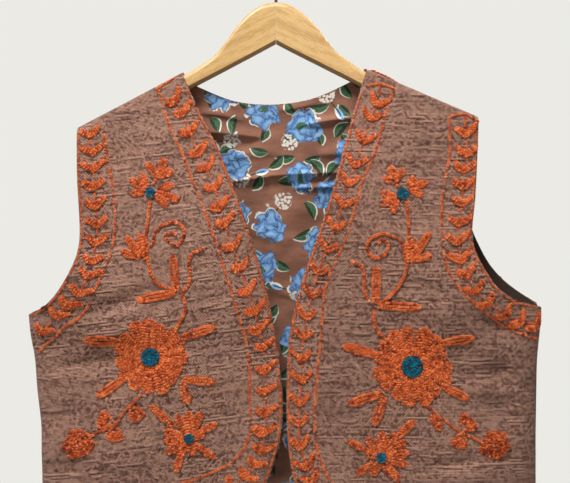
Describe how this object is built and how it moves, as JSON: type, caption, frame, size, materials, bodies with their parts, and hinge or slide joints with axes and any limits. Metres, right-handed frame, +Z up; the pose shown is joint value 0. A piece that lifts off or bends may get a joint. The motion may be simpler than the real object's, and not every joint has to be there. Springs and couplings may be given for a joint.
{
  "type": "embroidered waistcoat on a hanger",
  "caption": "Sleeveless open-front waistcoat of slub cloth with crewel flower embroidery and a printed lining, hung on a contoured wooden hanger with a wire hook.",
  "frame": {"origin": "the hook's seat: the inner top of the hook's bend, where it rests on a rail", "axes": "+Z up, +X to the viewer's right (the wearer's left), the fronts of the waistcoat face -Y"},
  "size_m": [0.548, 0.059, 0.641],
  "materials": {
    "cloth": "matte slub weave",
    "lining": "matte printed cotton",
    "wood": "satin varnish",
    "steel": "bright wire"
  },
  "bodies": {
    "root": {"front_right": "cloth", "front_left": "cloth", "back": "cloth", "back_lining": "lining", "hanger_arm_right": "wood", "hanger_arm_left": "wood", "hook": "steel"}
  },
  "joints": []
}
